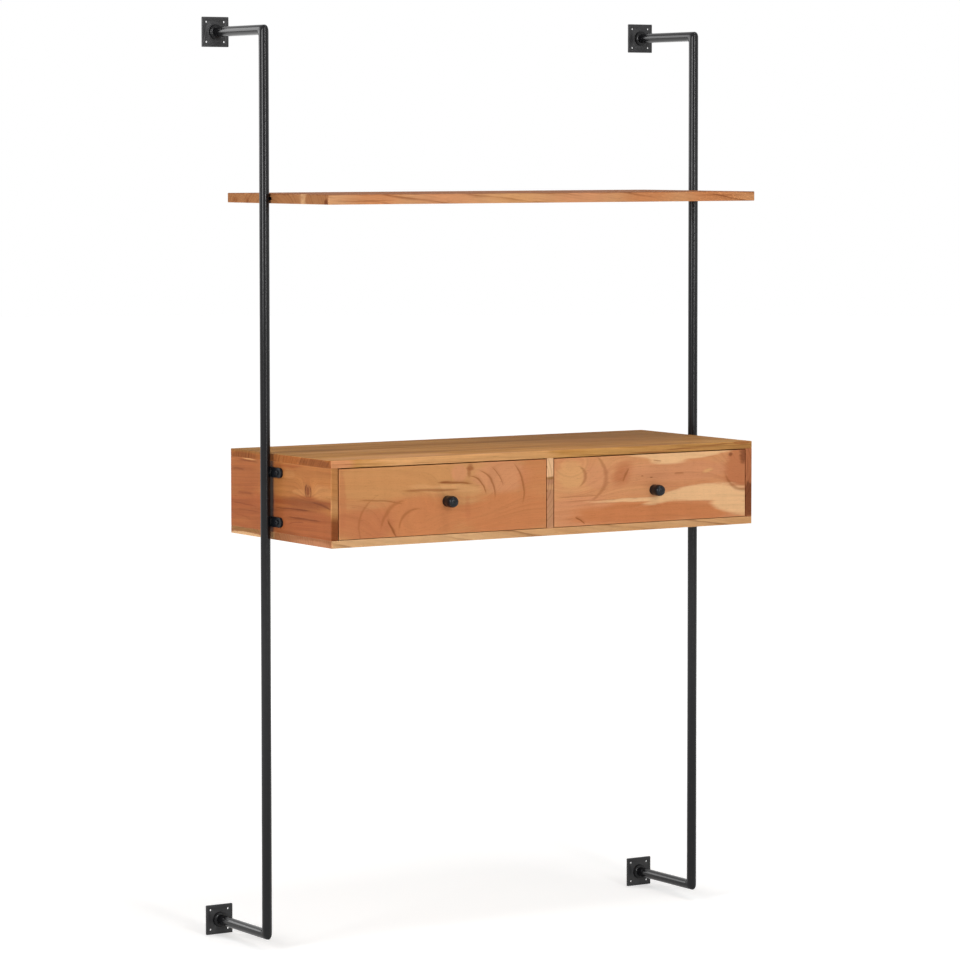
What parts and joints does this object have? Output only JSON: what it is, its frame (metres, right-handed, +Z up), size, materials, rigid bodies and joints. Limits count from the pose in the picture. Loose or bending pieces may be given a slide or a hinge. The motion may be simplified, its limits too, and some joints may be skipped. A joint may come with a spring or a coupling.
{
  "type": "floating wall desk",
  "caption": "Wall-hung desk with a shallow box of drawers and a shelf above, held between black tube frames on wall plates.",
  "frame": {"origin": "on the wall plane, midway between the four wall plates", "axes": "+X along the wall to the right for someone facing the desk, +Y into the wall, +Z up"},
  "size_m": [1.09, 0.463, 1.85],
  "materials": {
    "black_powder_coat": "satin",
    "black_iron": "satin",
    "black_screw": "satin",
    "plated_screw": "bright zinc",
    "desk_top_wood": "oiled",
    "bottom_board_wood": "oiled",
    "side_panel_wood": "oiled",
    "divider_wood": "oiled",
    "shelf_wood": "oiled",
    "left_drawer_front_wood": "oiled",
    "right_drawer_front_wood": "oiled",
    "inner_wood": "plain"
  },
  "bodies": {
    "frame": {"left_upright": "black_powder_coat", "left_shelf_tongue": "black_powder_coat", "left_lower_arm": "black_powder_coat", "left_lower_wall_plate": "black_powder_coat", "left_lower_collar": "black_powder_coat", "left_lower_ear": "black_powder_coat", "left_upper_arm": "black_powder_coat", "left_upper_wall_plate": "black_powder_coat", "left_upper_collar": "black_powder_coat", "left_upper_ear": "black_powder_coat", "right_upright": "black_powder_coat", "right_shelf_tongue": "black_powder_coat", "right_lower_arm": "black_powder_coat", "right_lower_wall_plate": "black_powder_coat", "right_lower_collar": "black_powder_coat", "right_lower_ear": "black_powder_coat", "right_upper_arm": "black_powder_coat", "right_upper_wall_plate": "black_powder_coat", "right_upper_collar": "black_powder_coat", "right_upper_ear": "black_powder_coat", "top_board": "desk_top_wood", "bottom_board": "bottom_board_wood", "left_side_panel": "side_panel_wood", "right_side_panel": "side_panel_wood", "centre_divider": "divider_wood", "back_panel": "inner_wood", "shelf": "shelf_wood", "box_dowels": "inner_wood", "ear_screws": "black_screw", "shelf_screws": "plated_screw", "left_bay_outer_runner": "inner_wood", "left_bay_inner_runner": "inner_wood", "right_bay_outer_runner": "inner_wood", "right_bay_inner_runner": "inner_wood", "runner_screws": "plated_screw"},
    "left_drawer": {"left_drawer_front": "left_drawer_front_wood", "left_drawer_left_side": "inner_wood", "left_drawer_right_side": "inner_wood", "left_drawer_back": "inner_wood", "left_drawer_bottom": "inner_wood", "left_drawer_knob": "black_iron", "left_drawer_knob_screw": "plated_screw"},
    "right_drawer": {"right_drawer_front": "right_drawer_front_wood", "right_drawer_left_side": "inner_wood", "right_drawer_right_side": "inner_wood", "right_drawer_back": "inner_wood", "right_drawer_bottom": "inner_wood", "right_drawer_knob": "black_iron", "right_drawer_knob_screw": "plated_screw"}
  },
  "joints": [
    {"name": "left_drawer_slide", "type": "slide", "parent": "frame", "child": "left_drawer", "axis": [0, -1, 0], "range_m": [0, 0.26]},
    {"name": "right_drawer_slide", "type": "slide", "parent": "frame", "child": "right_drawer", "axis": [0, -1, 0], "range_m": [0, 0.26]}
  ]
}
